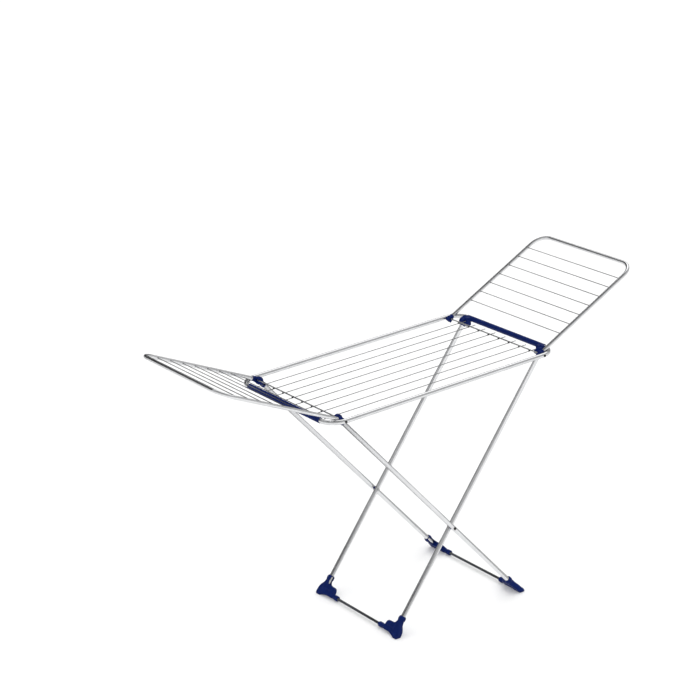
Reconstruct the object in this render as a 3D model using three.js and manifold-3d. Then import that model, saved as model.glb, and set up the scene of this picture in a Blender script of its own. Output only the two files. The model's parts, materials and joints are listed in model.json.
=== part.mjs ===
// A free-standing clothes drying rack: a wire table on crossed legs with a folding wing at each end.
// Units are millimetres. +X runs along the rack from the left end to the right end, +Y to the back,
// +Z up. The origin is on the floor under the middle of the table.
// The rack stands open: the legs are locked apart and both wings lean on the corners of the table.
import * as THREE from "three";
import { mergeVertices } from "three/addons/utils/BufferGeometryUtils.js";
import Module from "manifold-3d";

const wasm = await Module();
wasm.setup();

// ---- Driving dimensions ----

// The table: one bent tube with its corners rounded, measured along the tube's centre line.
const TABLE_LENGTH = 968;
const TABLE_WIDTH = 550;
const TABLE_HEIGHT = 887;
const TABLE_CORNER = 61;
const TABLE_TUBE_R = 8;
const TUBE_WALL = 0.9;
const TUBE_SEAM = 1; // the butt joint of the bent tube, under the left sheath

// The axle rods that cross the table, carry its wires and are the pivots of the wings.
const AXLE_X = 429;
const AXLE_R = 2.5;
const AXLE_HEAD_R = 4.6;
const AXLE_HEAD = 2.6;

// The lengthwise wires of the table, under the axle rods.
const TABLE_WIRES = 8;
const TABLE_WIRE_R = 1.9;
const TABLE_WIRE_PITCH = 57.2;
const TABLE_WIRE_PAST_AXLE = 30;

// The wings: a bent U of tube with wires across it.
const WING_LENGTH = 498; // from the pivot to the centre line of the outer tube
const WING_HALF_WIDTH = 256;
const WING_CORNER = 57;
const WING_TUBE_R = 6.5;
const WING_TUBE_START = 5; // the tube stops this far from the pivot, inside its cap
const WING_TILT = THREE.MathUtils.degToRad(25.7);
const WING_WIRES = 7;
const WING_WIRE_R = 1.8;
const WING_WIRE_FIRST = 111;
const WING_WIRE_PITCH = 52;

// The crossed legs. Pair A hinges on the right end tube, pair B hooks on the left axle rod.
const LEG_TUBE_R = 9;
const LEG_A_HALF_WIDTH = 216;
const LEG_B_HALF_WIDTH = 236;
const LEG_CROSS_HEIGHT = 337; // of the crossing pins
const LEG_A_OFFSET = 8; // how far the axis of a leg A tube passes inboard of its hinge
const FOOT_BAR_HEIGHT = 12;
const FOOT_BAR_R = 5.25;
const CROSS_PIN_R = 3;
const CROSS_PIN_HEAD_R = 5.5;
const CROSS_PIN_HEAD = 2.5;
const WASHER_R = 8; // the washer on the crossing pin, between the leg tubes

// The plastic mouldings.
const SHEATH_R = 10;
const SHEATH_HALF_LENGTH = 213;
const SHEATH_SLIT = 3; // along its underside
const SLEEVE_R = 10;
const SLEEVE_HALF_LENGTH = 215;
const SLEEVE_FLARE = 2; // the extra clearance in its sockets, where the end tube begins to bend
const SLEEVE_SLOT = 13; // the mouth that lets the sleeve snap on the end tube
const SLEEVE_TUBE_START = 12.5; // a leg A tube starts this far below its hinge
const SOCKET_LENGTH = 37;
const SOCKET_R = 12.4;
const BOSS_R = 16.5; // the round boss across each socket of the sleeve
const BOSS_WIDTH = 24;
const BOSS_DISTANCE = 20; // from the hinge, down the leg
const NOSE_R = 8.4; // the boss's slimmer inner end, which passes under the table's wires
const NOSE_REACH = 24; // inward from the leg's axis
const NOSE_DISTANCE = 27; // from the hinge, down the leg
const FOOT_THICKNESS = 22;
const FOOT_BEVEL = 3;
const FOOT_SOCKET_TOP = 65; // up the leg from the foot bar's axis
const FOOT_SOCKET_HALF = 13;
const FOOT_ARM = 90; // inward along the foot bar
const FOOT_ARM_HALF = 8.5;
const FOOT_TUBE_START = 13; // the leg tube and the foot bar stop this far from the foot's corner
const FOOT_WINDOW_WIDTH = 30;
const FOOT_WINDOW_HEIGHT = 26;
const FOOT_WINDOW_DEPTH = 11;
const FOOT_WINDOW_UP = 47; // its middle, up the leg from the foot bar's axis
const HOOK_R = 14;
const HOOK_WIDTH = 15;
const HOOK_SHANK_R = 9.2;
const HOOK_SHANK_START = 6; // from the hook's centre, down the leg
const HOOK_NECK = 30;
const HOOK_PLUG = 26; // the part inside the leg tube
const CAP_WIDTH = 16;
const CAP_R = 11; // a wing cap's knuckle, which clears the table's corner as the wing turns
const CAP_FRONT = 16;
const CAP_WALL = 1;

const FIT = 0.3; // the gap between pieces that touch
const RUNNING_FIT = 0.4; // the gap between a bore and what turns in it
const PAST = 1; // how far a cutting tool runs past the face it cuts

// How finely round things are divided.
const BEND_STEPS = 7;
const WIRE_SIDES = 8;
const FOOT_BAR_SIDES = 10;
const BORE_SIDES = 16;
const MOULDING_SIDES = 20;
const SHEATH_SIDES = 24;

// ---- Places worked out from the driving dimensions ----

const END_X = TABLE_LENGTH / 2;
const SIDE_Y = TABLE_WIDTH / 2;
const HINGE_A = new THREE.Vector3(END_X, 0, TABLE_HEIGHT);
const HINGE_B = new THREE.Vector3(-AXLE_X, 0, TABLE_HEIGHT);
const CROSSING = new THREE.Vector3((END_X - AXLE_X) / 2, 0, LEG_CROSS_HEIGHT);

// ---- Materials ----

const steel = new THREE.MeshStandardMaterial({ color: 0xb9bcc0, metalness: 0.9, roughness: 0.35 });
const wireSteel = new THREE.MeshStandardMaterial({ color: 0xd6d8db, metalness: 0.6, roughness: 0.45 });
const barSteel = new THREE.MeshStandardMaterial({ color: 0x55585e, metalness: 0.8, roughness: 0.4 });
const bluePlastic = new THREE.MeshStandardMaterial({ color: 0x12206a, metalness: 0, roughness: 0.4 });

// ---- Solids ----

// A closed geometry as a solid that can be joined and cut.
function solidOf(geometry) {
  const bare = geometry.clone();
  bare.deleteAttribute("normal");
  bare.deleteAttribute("uv");
  const merged = mergeVertices(bare, 1e-3);
  return new wasm.Manifold(
    new wasm.Mesh({
      numProp: 3,
      vertProperties: merged.attributes.position.array,
      triVerts: new Uint32Array(merged.index.array),
    }),
  );
}

// A joined or cut solid as a geometry with flat shading.
function geometryOf(solid) {
  const mesh = solid.getMesh();
  const geometry = new THREE.BufferGeometry();
  geometry.setAttribute("position", new THREE.BufferAttribute(mesh.vertProperties, 3));
  geometry.setIndex(new THREE.BufferAttribute(mesh.triVerts, 1));
  const flat = geometry.toNonIndexed();
  flat.computeVertexNormals();
  return flat;
}

function cut(geometry, ...tools) {
  return geometryOf(tools.reduce((solid, tool) => solid.subtract(solidOf(tool)), solidOf(geometry)));
}

function join(geometry, ...more) {
  return geometryOf(more.reduce((solid, piece) => solid.add(solidOf(piece)), solidOf(geometry)));
}

// A round rod from one point to another.
function rod(from, to, radius, sides = 12) {
  const along = new THREE.Vector3().subVectors(to, from);
  const geometry = new THREE.CylinderGeometry(radius, radius, along.length(), sides);
  const yAxis = new THREE.Vector3(0, 1, 0);
  const turn = new THREE.Quaternion().setFromUnitVectors(yAxis, along.clone().normalize());
  geometry.applyQuaternion(turn);
  geometry.translate(...from.clone().add(to).multiplyScalar(0.5).toArray());
  return geometry;
}

// A rod parallel to the Y axis at (x, z).
function crossRod(x, z, fromY, toY, radius, sides = 12) {
  return rod(new THREE.Vector3(x, fromY, z), new THREE.Vector3(x, toY, z), radius, sides);
}

// A path of straight runs and arcs that puts the steps of an extrusion only where the path bends.
class BentPath extends THREE.Curve {
  constructor(start) {
    super();
    this.points = [start.clone()];
    this.tangents = [];
  }
  lineTo(end) {
    const from = this.points.at(-1);
    const direction = new THREE.Vector3().subVectors(end, from).normalize();
    if (!this.tangents.length) this.tangents.push(direction);
    this.points.push(end.clone());
    this.tangents.push(direction);
    return this;
  }
  // Turns left by a quarter about a centre in the XY plane.
  quarterTurn(centre, steps) {
    const arm = new THREE.Vector3().subVectors(this.points.at(-1), centre);
    const heading = this.tangents.at(-1);
    const up = new THREE.Vector3(0, 0, 1);
    for (let i = 1; i <= steps; i++) {
      const angle = ((i / steps) * Math.PI) / 2;
      this.points.push(arm.clone().applyAxisAngle(up, angle).add(centre));
      this.tangents.push(heading.clone().applyAxisAngle(up, angle));
    }
    return this;
  }
  get steps() {
    return this.points.length - 1;
  }
  getUtoTmapping(u) {
    return u;
  }
  getPoint(t) {
    return this.points[Math.round(t * this.steps)].clone();
  }
  getTangent(t) {
    return this.tangents[Math.round(t * this.steps)].clone();
  }
}

// A hollow tube along a path, open at both ends. An arc takes two sides for each curve segment.
function bentTube(path, radius, sides = 12) {
  const section = new THREE.Shape().absarc(0, 0, radius, 0, 2 * Math.PI);
  section.holes.push(new THREE.Path().absarc(0, 0, radius - TUBE_WALL, 0, 2 * Math.PI, true));
  const settings = { steps: path.steps, curveSegments: sides / 2, extrudePath: path };
  return new THREE.ExtrudeGeometry(section, settings);
}

function straightTube(from, to, radius, sides = 12) {
  return bentTube(new BentPath(from).lineTo(to), radius, sides);
}

// ---- The assembly ----

const rack = new THREE.Group();
const backSide = new THREE.Group(); // holds the mirrored copies of what is made for the front
backSide.scale.y = -1;
rack.add(backSide);

function addPiece(name, geometry, material, parent = rack) {
  const mesh = new THREE.Mesh(geometry, material);
  mesh.name = name;
  parent.add(mesh);
  return mesh;
}

// Adds a piece made for the front side, and its mirror image at the back.
function addPair(name, geometry, material) {
  addPiece(name + "_front", geometry, material);
  addPiece(name + "_back", geometry, material, backSide);
}

// ---- The table ----

function tableRing() {
  const x = END_X;
  const y = SIDE_Y;
  const r = TABLE_CORNER;
  const corner = (sx, sy) => new THREE.Vector3(sx * (x - r), sy * (y - r), 0);
  const path = new BentPath(new THREE.Vector3(-x, -TUBE_SEAM / 2, 0))
    .lineTo(new THREE.Vector3(-x, r - y, 0))
    .quarterTurn(corner(-1, -1), BEND_STEPS)
    .lineTo(new THREE.Vector3(x - r, -y, 0))
    .quarterTurn(corner(1, -1), BEND_STEPS)
    .lineTo(new THREE.Vector3(x, y - r, 0))
    .quarterTurn(corner(1, 1), BEND_STEPS)
    .lineTo(new THREE.Vector3(r - x, y, 0))
    .quarterTurn(corner(-1, 1), BEND_STEPS)
    .lineTo(new THREE.Vector3(-x, TUBE_SEAM / 2, 0));
  const tube = bentTube(path, TABLE_TUBE_R);
  tube.translate(0, 0, TABLE_HEIGHT);
  const holes = [];
  for (const sx of [-1, 1]) {
    for (const sy of [-1, 1]) {
      const from = sy * (SIDE_Y - 2 * TABLE_TUBE_R);
      const to = sy * (SIDE_Y + 2 * TABLE_TUBE_R);
      holes.push(crossRod(sx * AXLE_X, TABLE_HEIGHT, from, to, AXLE_R + FIT));
    }
  }
  return cut(tube, ...holes);
}

// A rod with a flat head formed on each end.
function axleRod() {
  const inner = SIDE_Y + TABLE_TUBE_R + FIT;
  const profile = [
    [0, -inner - AXLE_HEAD],
    [AXLE_HEAD_R * 0.7, -inner - AXLE_HEAD],
    [AXLE_HEAD_R, -inner - AXLE_HEAD * 0.5],
    [AXLE_HEAD_R, -inner],
    [AXLE_R, -inner],
    [AXLE_R, inner],
    [AXLE_HEAD_R, inner],
    [AXLE_HEAD_R, inner + AXLE_HEAD * 0.5],
    [AXLE_HEAD_R * 0.7, inner + AXLE_HEAD],
    [0, inner + AXLE_HEAD],
  ];
  return new THREE.LatheGeometry(profile.map(([r, y]) => new THREE.Vector2(r, y)), 12);
}

// The left end tube's sheath: a split tube with grooves along it.
function endSheath() {
  const from = -SHEATH_HALF_LENGTH;
  const to = SHEATH_HALF_LENGTH;
  const body = crossRod(-END_X, TABLE_HEIGHT, from, to, SHEATH_R, SHEATH_SIDES);
  const bore = crossRod(-END_X, TABLE_HEIGHT, from - PAST, to + PAST, TABLE_TUBE_R + FIT, BORE_SIDES);
  const slit = new THREE.BoxGeometry(2 * SHEATH_R, to - from + 2 * PAST, SHEATH_SLIT);
  slit.translate(SHEATH_R, 0, 0);
  slit.rotateY(Math.PI / 2);
  slit.translate(-END_X, 0, TABLE_HEIGHT);
  return cut(body, bore, slit);
}

addPiece("table_ring", tableRing(), steel);
for (const [side, sx] of [["left", -1], ["right", 1]]) {
  addPiece("axle_rod_" + side, axleRod(), steel).position.set(sx * AXLE_X, 0, TABLE_HEIGHT);
}
const tableWireZ = TABLE_HEIGHT - AXLE_R - FIT - TABLE_WIRE_R;
const tableWireEnd = AXLE_X + TABLE_WIRE_PAST_AXLE;
for (let i = 0; i < TABLE_WIRES; i++) {
  const y = (i - (TABLE_WIRES - 1) / 2) * TABLE_WIRE_PITCH;
  const from = new THREE.Vector3(-tableWireEnd, y, tableWireZ);
  const to = new THREE.Vector3(tableWireEnd, y, tableWireZ);
  addPiece("table_wire_" + (i + 1), rod(from, to, TABLE_WIRE_R, WIRE_SIDES), wireSteel);
}
addPiece("end_sheath_left", endSheath(), bluePlastic);

// ---- The wings ----

// A wing in its own frame: the pivot is the Y axis, and the wing lies along +X.
function wingTube() {
  const start = WING_TUBE_START;
  const x = WING_LENGTH;
  const y = WING_HALF_WIDTH;
  const r = WING_CORNER;
  const path = new BentPath(new THREE.Vector3(start, -y, 0))
    .lineTo(new THREE.Vector3(x - r, -y, 0))
    .quarterTurn(new THREE.Vector3(x - r, r - y, 0), BEND_STEPS)
    .lineTo(new THREE.Vector3(x, y - r, 0))
    .quarterTurn(new THREE.Vector3(x - r, y - r, 0), BEND_STEPS)
    .lineTo(new THREE.Vector3(start, y, 0));
  return bentTube(path, WING_TUBE_R);
}

// The moulded end of a wing's side tube: a knuckle on the axle rod with a socket for the tube.
function wingCap() {
  const y = -WING_HALF_WIDTH;
  const knuckle = crossRod(0, 0, y - CAP_WIDTH / 2, y + CAP_WIDTH / 2, CAP_R, MOULDING_SIDES);
  const socketEnd = new THREE.Vector3(CAP_FRONT, y, 0);
  const socket = rod(new THREE.Vector3(0, y, 0), socketEnd, WING_TUBE_R + FIT + CAP_WALL, BORE_SIDES);
  const axleBore = crossRod(0, 0, y - CAP_WIDTH, y + CAP_WIDTH, AXLE_R + RUNNING_FIT);
  const boreStart = new THREE.Vector3(WING_TUBE_START - FIT, y, 0);
  const boreEnd = new THREE.Vector3(CAP_FRONT + PAST, y, 0);
  const tubeBore = rod(boreStart, boreEnd, WING_TUBE_R + FIT, BORE_SIDES);
  return cut(join(knuckle, socket), axleBore, tubeBore);
}

for (const [side, heading] of [["left", Math.PI], ["right", 0]]) {
  const pivot = new THREE.Group();
  pivot.position.set(heading ? -AXLE_X : AXLE_X, 0, TABLE_HEIGHT);
  pivot.rotation.z = heading;
  const wing = new THREE.Group();
  wing.rotation.y = -WING_TILT;
  pivot.add(wing);
  rack.add(pivot);
  const prefix = "wing_" + side + "_";
  addPiece(prefix + "tube", wingTube(), steel, wing);
  const cap = wingCap();
  addPiece(prefix + (heading ? "cap_back" : "cap_front"), cap, bluePlastic, wing);
  addPiece(prefix + (heading ? "cap_front" : "cap_back"), cap, bluePlastic, wing).scale.y = -1;
  const reach = WING_HALF_WIDTH - WING_TUBE_R - FIT;
  for (let i = 0; i < WING_WIRES; i++) {
    const wire = crossRod(WING_WIRE_FIRST + i * WING_WIRE_PITCH, 0, -reach, reach, WING_WIRE_R, WIRE_SIDES);
    addPiece(prefix + "wire_" + (i + 1), wire, wireSteel, wing);
  }
}

// ---- The legs ----

// The line of a leg's tubes in the XZ plane: the point nearest the hinge, the direction down the
// leg, and how far along it the foot bar crosses.
function legLine(hinge, offset) {
  const toCrossing = new THREE.Vector3().subVectors(CROSSING, hinge);
  const lean = Math.atan2(-toCrossing.z, Math.abs(toCrossing.x)) + Math.asin(offset / toCrossing.length());
  const side = Math.sign(toCrossing.x);
  const down = new THREE.Vector3(side * Math.cos(lean), 0, -Math.sin(lean));
  const start = CROSSING.clone().addScaledVector(down, -toCrossing.dot(down));
  return { start, down, length: (start.z - FOOT_BAR_HEIGHT) / Math.sin(lean) };
}

const legA = legLine(HINGE_A, LEG_A_OFFSET);
const legB = legLine(HINGE_B, 0);

function pointOn(leg, distance, y) {
  const point = leg.start.clone().addScaledVector(leg.down, distance);
  point.y = y;
  return point;
}

// A leg tube with the hole of its crossing pin.
function legTube(leg, startDistance, y) {
  const from = pointOn(leg, startDistance, y);
  const to = pointOn(leg, leg.length - FOOT_TUBE_START, y);
  const reach = 2 * LEG_TUBE_R;
  const pinHole = crossRod(CROSSING.x, CROSSING.z, y - reach, y + reach, CROSS_PIN_R + RUNNING_FIT);
  return cut(straightTube(from, to, LEG_TUBE_R), pinHole);
}

// The moulded bar of leg pair A: it snaps on the right end tube and holds both leg tubes.
function hingeSleeve() {
  const reach = SLEEVE_HALF_LENGTH;
  const socketFace = LEG_A_HALF_WIDTH + SOCKET_R + PAST;
  const boreRadius = TABLE_TUBE_R + RUNNING_FIT;
  const flareRadius = boreRadius + SLEEVE_FLARE;
  let body = crossRod(END_X, TABLE_HEIGHT, -reach, reach, SLEEVE_R, MOULDING_SIDES);
  const cuts = [crossRod(END_X, TABLE_HEIGHT, -reach - PAST, reach + PAST, boreRadius, BORE_SIDES)];
  for (const sy of [-1, 1]) {
    cuts.push(crossRod(END_X, TABLE_HEIGHT, sy * reach, sy * socketFace, flareRadius, BORE_SIDES));
    const y = sy * LEG_A_HALF_WIDTH;
    const boss = pointOn(legA, BOSS_DISTANCE, y);
    const nose = pointOn(legA, NOSE_DISTANCE, y);
    body = join(
      body,
      rod(pointOn(legA, 0, y), pointOn(legA, SOCKET_LENGTH, y), SOCKET_R, BORE_SIDES),
      crossRod(boss.x, boss.z, y - BOSS_WIDTH / 2, y + BOSS_WIDTH / 2, BOSS_R, MOULDING_SIDES),
      crossRod(nose.x, nose.z, y - sy * NOSE_REACH, y, NOSE_R, BORE_SIDES),
    );
    const bottom = pointOn(legA, SLEEVE_TUBE_START - FIT, y);
    cuts.push(rod(bottom, pointOn(legA, SOCKET_LENGTH + PAST, y), LEG_TUBE_R + FIT, BORE_SIDES));
  }
  const mouth = new THREE.BoxGeometry(2 * SLEEVE_R, 2 * socketFace, SLEEVE_SLOT);
  mouth.translate(SLEEVE_R, 0, 0);
  mouth.rotateY(Math.PI / 4);
  mouth.translate(END_X, 0, TABLE_HEIGHT);
  return cut(body, ...cuts, mouth);
}

// The hook on top of a leg B tube. Its mouth is open to the left and it plugs in the tube.
function legHook() {
  const y = -LEG_B_HALF_WIDTH;
  const x = HINGE_B.x;
  const z = HINGE_B.z;
  const neckEnd = pointOn(legB, HOOK_NECK, y);
  const head = crossRod(x, z, y - HOOK_WIDTH / 2, y + HOOK_WIDTH / 2, HOOK_R, MOULDING_SIDES);
  const neck = rod(pointOn(legB, HOOK_SHANK_START, y), neckEnd, HOOK_SHANK_R, BORE_SIDES);
  const plugRadius = LEG_TUBE_R - TUBE_WALL - FIT;
  const plugEnd = pointOn(legB, HOOK_NECK + HOOK_PLUG, y);
  const plug = rod(pointOn(legB, HOOK_NECK - PAST, y), plugEnd, plugRadius);
  const seat = crossRod(x, z, y - HOOK_WIDTH, y + HOOK_WIDTH, AXLE_R + RUNNING_FIT);
  const mouth = new THREE.BoxGeometry(2 * HOOK_R, 2 * HOOK_WIDTH, 2 * (AXLE_R + RUNNING_FIT));
  mouth.translate(x - HOOK_R, y, z);
  return cut(join(head, neck, plug), seat, mouth);
}

// The outline of a foot in the plane of its leg: x is inward along the foot bar, y is up the leg.
function footOutline() {
  const top = FOOT_SOCKET_TOP;
  const half = FOOT_SOCKET_HALF;
  const arm = FOOT_ARM;
  const armHalf = FOOT_ARM_HALF;
  const outline = new THREE.Shape();
  outline.moveTo(4 - half, top);
  outline.quadraticCurveTo(-half, top - 2, -half, top - 9);
  outline.lineTo(-half, 36);
  outline.quadraticCurveTo(-14, 26, -20, 17);
  outline.quadraticCurveTo(-27, 6, -27.5, -6);
  outline.lineTo(-26, -30);
  outline.lineTo(-3, -30);
  outline.lineTo(3, -16);
  outline.quadraticCurveTo(20, -armHalf, 34, -armHalf);
  outline.lineTo(arm - 2, -armHalf);
  outline.lineTo(arm, 2 - armHalf);
  outline.lineTo(arm, armHalf - 2);
  outline.lineTo(arm - 2, armHalf);
  outline.lineTo(57, armHalf);
  outline.quadraticCurveTo(56, 24, 50, 27);
  outline.quadraticCurveTo(46, 30, 38, 30);
  outline.lineTo(24, 31);
  outline.quadraticCurveTo(half, 33, half, 42);
  outline.lineTo(half, top - 9);
  outline.quadraticCurveTo(half, top - 2, half - 4, top);
  outline.closePath();
  return outline;
}

// A corner moulding that takes the leg tube and the foot bar and stands on the floor.
function footMoulding(leg, y) {
  const settings = {
    depth: FOOT_THICKNESS - 2 * FOOT_BEVEL,
    bevelEnabled: true,
    bevelThickness: FOOT_BEVEL,
    bevelSize: FOOT_BEVEL,
    bevelOffset: -FOOT_BEVEL,
    bevelSegments: 2,
    curveSegments: 3,
  };
  const body = new THREE.ExtrudeGeometry(footOutline(), settings);
  body.translate(0, 0, FOOT_BEVEL - FOOT_THICKNESS / 2);
  const inward = new THREE.Vector3(0, 1, 0);
  const up = leg.down.clone().negate();
  const frame = new THREE.Matrix4().makeBasis(inward, up, new THREE.Vector3().crossVectors(inward, up));
  frame.setPosition(pointOn(leg, leg.length, y));
  body.applyMatrix4(frame);

  const corner = pointOn(leg, leg.length, y);
  const tubeEnd = pointOn(leg, leg.length - FOOT_TUBE_START + FIT, y);
  const socketEnd = pointOn(leg, leg.length - FOOT_SOCKET_TOP - PAST, y);
  const legBore = rod(tubeEnd, socketEnd, LEG_TUBE_R + FIT, BORE_SIDES);
  const barStart = y + FOOT_TUBE_START - FIT;
  const barBore = crossRod(corner.x, corner.z, barStart, y + FOOT_ARM + PAST, FOOT_BAR_R + FIT);
  // A window in the socket's inward side shows the tube between two prongs.
  const window = new THREE.BoxGeometry(FOOT_WINDOW_WIDTH, FOOT_WINDOW_HEIGHT, FOOT_WINDOW_DEPTH);
  window.translate(FOOT_WINDOW_WIDTH / 2, FOOT_WINDOW_UP, 0);
  window.applyMatrix4(frame);
  const floorWidth = 4 * FOOT_ARM;
  const floor = new THREE.BoxGeometry(floorWidth, floorWidth, floorWidth);
  floor.translate(corner.x, y, -floorWidth / 2);
  return cut(body, legBore, barBore, window, floor);
}

function addLegPair(prefix, leg, halfWidth, tubeStart) {
  const y = -halfWidth;
  addPair(prefix + "_tube", legTube(leg, tubeStart, y), steel);
  addPair(prefix + "_foot", footMoulding(leg, y), bluePlastic);
  const corner = pointOn(leg, leg.length, 0);
  const reach = halfWidth - FOOT_TUBE_START;
  const from = new THREE.Vector3(corner.x, -reach, corner.z);
  const to = new THREE.Vector3(corner.x, reach, corner.z);
  addPiece(prefix + "_foot_bar", straightTube(from, to, FOOT_BAR_R, FOOT_BAR_SIDES), barSteel);
}

addPiece("leg_a_hinge_sleeve", hingeSleeve(), bluePlastic);
addLegPair("leg_a", legA, LEG_A_HALF_WIDTH, SLEEVE_TUBE_START);
addPair("leg_b_hook", legHook(), bluePlastic);
addLegPair("leg_b", legB, LEG_B_HALF_WIDTH, HOOK_NECK + FIT);

// The pins on which the leg pairs cross, with a washer between the tubes.
function crossPin() {
  const inner = LEG_A_HALF_WIDTH - LEG_TUBE_R - FIT;
  const outer = LEG_B_HALF_WIDTH + LEG_TUBE_R + FIT;
  const { x, z } = CROSSING;
  return join(
    crossRod(x, z, -outer - PAST, -inner + PAST, CROSS_PIN_R),
    crossRod(x, z, -outer - CROSS_PIN_HEAD, -outer, CROSS_PIN_HEAD_R),
    crossRod(x, z, -inner, -inner + CROSS_PIN_HEAD, CROSS_PIN_HEAD_R),
  );
}

function crossWasher() {
  const from = -LEG_B_HALF_WIDTH + LEG_TUBE_R + FIT;
  const to = -LEG_A_HALF_WIDTH - LEG_TUBE_R - FIT;
  const { x, z } = CROSSING;
  const bore = crossRod(x, z, from - PAST, to + PAST, CROSS_PIN_R + RUNNING_FIT);
  return cut(crossRod(x, z, from, to, WASHER_R, BORE_SIDES), bore);
}

addPair("cross_pin", crossPin(), steel);
addPair("cross_washer", crossWasher(), bluePlastic);

export default rack;
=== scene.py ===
# The looks of a free-standing clothes drying rack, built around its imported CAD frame.
# Blender works in metres. Sizes below are in millimetres and are scaled by MM where they are used.
# Every piece's place comes from the frame: the nodes' boxes and end faces, and the joints' positions.
import json
import math

import bmesh
import bpy
import numpy as np
from mathutils import Matrix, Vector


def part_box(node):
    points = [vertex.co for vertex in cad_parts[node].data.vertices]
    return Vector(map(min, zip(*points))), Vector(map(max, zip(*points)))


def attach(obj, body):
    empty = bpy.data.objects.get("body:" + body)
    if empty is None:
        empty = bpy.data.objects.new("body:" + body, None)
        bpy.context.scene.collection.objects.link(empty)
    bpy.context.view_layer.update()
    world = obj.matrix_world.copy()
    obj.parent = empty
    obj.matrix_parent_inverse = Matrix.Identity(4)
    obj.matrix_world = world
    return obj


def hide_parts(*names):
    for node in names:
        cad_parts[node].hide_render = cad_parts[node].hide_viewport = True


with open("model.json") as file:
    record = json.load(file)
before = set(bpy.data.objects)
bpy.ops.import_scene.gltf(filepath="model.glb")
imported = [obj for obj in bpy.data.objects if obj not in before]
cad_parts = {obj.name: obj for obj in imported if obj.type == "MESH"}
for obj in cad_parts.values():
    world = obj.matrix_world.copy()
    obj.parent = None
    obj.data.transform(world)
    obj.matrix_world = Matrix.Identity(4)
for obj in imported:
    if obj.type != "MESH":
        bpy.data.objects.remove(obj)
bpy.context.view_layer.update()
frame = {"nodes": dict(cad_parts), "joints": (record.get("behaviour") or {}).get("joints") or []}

MM = 0.001

# ---- Camera ----

CAMERA_PLACE = (-4.2816, -5.9260, 3.7134)
CAMERA_YAW = math.radians(-34.555)
CAMERA_PITCH = math.radians(20.646)
CAMERA_ROLL = math.radians(-3.706)
CAMERA_LENS = 115.4
SENSOR = 36.0


def add_camera():
    yaw, pitch, roll = CAMERA_YAW, CAMERA_PITCH, CAMERA_ROLL
    forward = np.array([
        -math.sin(yaw) * math.cos(pitch),
        math.cos(yaw) * math.cos(pitch),
        -math.sin(pitch),
    ])
    level = np.array([math.cos(yaw), math.sin(yaw), 0.0])
    upright = np.cross(level, forward)
    right = math.cos(roll) * level + math.sin(roll) * upright
    up = -math.sin(roll) * level + math.cos(roll) * upright
    data = bpy.data.cameras.new("camera")
    data.lens = CAMERA_LENS
    data.sensor_width = SENSOR
    camera = bpy.data.objects.new("camera", data)
    bpy.context.scene.collection.objects.link(camera)
    matrix = Matrix.Identity(4)
    for row in range(3):
        matrix[row][0], matrix[row][1], matrix[row][2] = right[row], up[row], -forward[row]
        matrix[row][3] = CAMERA_PLACE[row]
    camera.matrix_world = matrix
    bpy.context.scene.camera = camera


add_camera()

# ---- Places read from the frame ----

joints = {j["name"]: np.array(j["pos_m"]) for j in frame["joints"]}


def box_of(node):
    low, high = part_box(node)
    return np.array(low), np.array(high)


def middle_of(node):
    low, high = box_of(node)
    return (low + high) / 2


def ends_of(node):
    """The centres of a straight tube's two end faces, the upper one first, and its radius."""
    mesh = frame["nodes"][node].data
    points = np.zeros(len(mesh.vertices) * 3)
    mesh.vertices.foreach_get("co", points)
    points = points.reshape(-1, 3)
    centre = points.mean(0)
    axis = np.linalg.svd(points - centre, full_matrices=False)[2][0]
    along = (points - centre) @ axis
    high, low = points[along > along.max() - MM].mean(0), points[along < along.min() + MM].mean(0)
    upper, lower = (high, low) if high[2] > low[2] else (low, high)
    box_low, box_high = box_of(node)
    return upper, lower, (box_high[1] - box_low[1]) / 2


ring_low, ring_high = box_of("table_ring")
RING_R = (ring_high[2] - ring_low[2]) / 2
TABLE_Z = (ring_high[2] + ring_low[2]) / 2
END_X = ring_high[0] - RING_R
SIDE_Y = ring_high[1] - RING_R
HINGE_A = joints["leg_a_hinge"]
CROSSING = joints["leg_cross"]
AXLE_X = joints["wing_right_hinge"][0]
# The heads of the axle rods and crossing pins stand outside this distance from the middle.
PIN_FACE_Y = -box_of("leg_b_tube_front")[0][1]
# A moulding that is made in front is mirrored to the back.
ENDS = (("front", False), ("back", True))

# ---- Mesh helpers ----


class Shape:
    """Vertices, faces and a UV for each face corner, gathered from several closed bodies."""

    def __init__(self):
        self.points = []
        self.faces = []
        self.uvs = []
        self.count = 0

    def add(self, points, faces, uvs=None):
        self.points.append(np.asarray(points, float))
        for i, face in enumerate(faces):
            self.faces.append([int(v) + self.count for v in face])
            self.uvs.extend(uvs[i] if uvs else [(0.0, 0.0)] * len(face))
        self.count += len(points)
        return self

    def finish(self, name, body, node, slot, material, sharp=None):
        mesh = bpy.data.meshes.new(name)
        mesh.from_pydata(np.concatenate(self.points).tolist(), [], self.faces)
        layer = mesh.uv_layers.new(name="length_and_round")
        layer.data.foreach_set("uv", np.array(self.uvs, np.float32).ravel())
        work = bmesh.new()
        work.from_mesh(mesh)
        bmesh.ops.recalc_face_normals(work, faces=work.faces)
        work.to_mesh(mesh)
        work.free()
        mesh.polygons.foreach_set("use_smooth", [True] * len(mesh.polygons))
        if sharp:
            mesh.set_sharp_from_angle(angle=math.radians(sharp))
        mesh.materials.append(material)
        piece = bpy.data.objects.new(name, mesh)
        bpy.context.scene.collection.objects.link(piece)
        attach(piece, body)
        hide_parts(node)
        return piece


def unit(vector):
    return np.asarray(vector, float) / np.linalg.norm(vector)


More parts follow.
